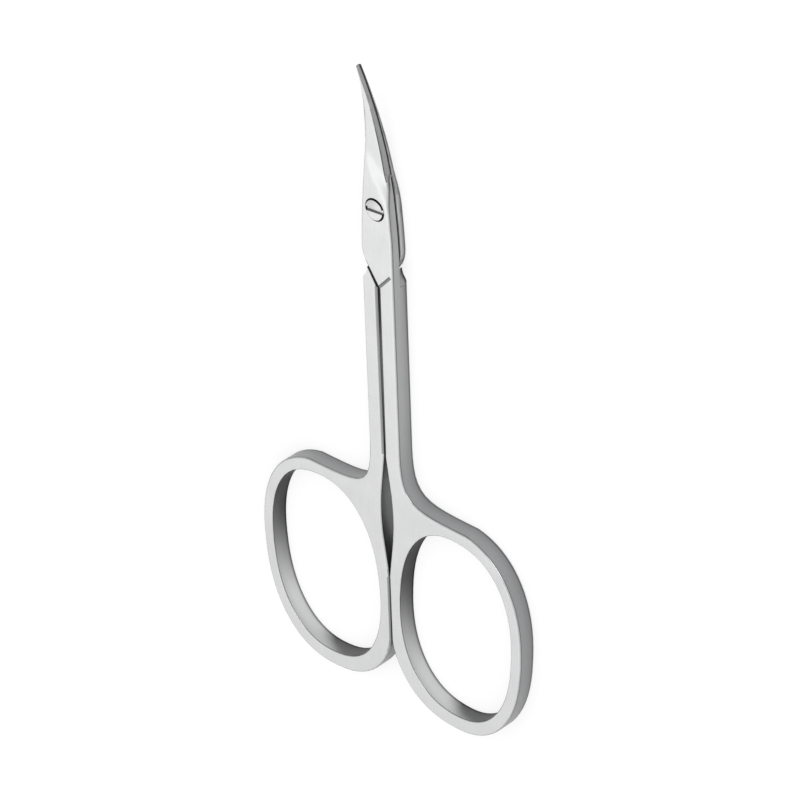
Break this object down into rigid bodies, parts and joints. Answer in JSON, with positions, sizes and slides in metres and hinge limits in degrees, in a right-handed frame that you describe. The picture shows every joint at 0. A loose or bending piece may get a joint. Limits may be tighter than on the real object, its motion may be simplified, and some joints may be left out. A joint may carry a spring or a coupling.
{
  "type": "cuticle scissors",
  "caption": "Slender steel cuticle scissors with upward-curved fine blades, narrow shanks and oval finger rings, opening on a slotted pivot screw.",
  "frame": {"origin": "middle of the closed scissors' footprint, on the surface they lie on", "axes": "+Y towards the blade tips, +Z out of the screw head, +X towards the front half's ring"},
  "size_m": [0.0452, 0.095, 0.0049],
  "materials": {
    "forged_steel": "satin",
    "screw_steel": "satin"
  },
  "bodies": {
    "rear": {"rear_half": "forged_steel", "pivot_screw": "screw_steel"},
    "front": {"front_half": "forged_steel"}
  },
  "joints": [
    {"name": "blades_open", "type": "hinge", "parent": "rear", "child": "front", "pos_m": [0, 0.02648, 0.00135], "axis": [0, 0, 1], "range_deg": [0, 50]}
  ]
}
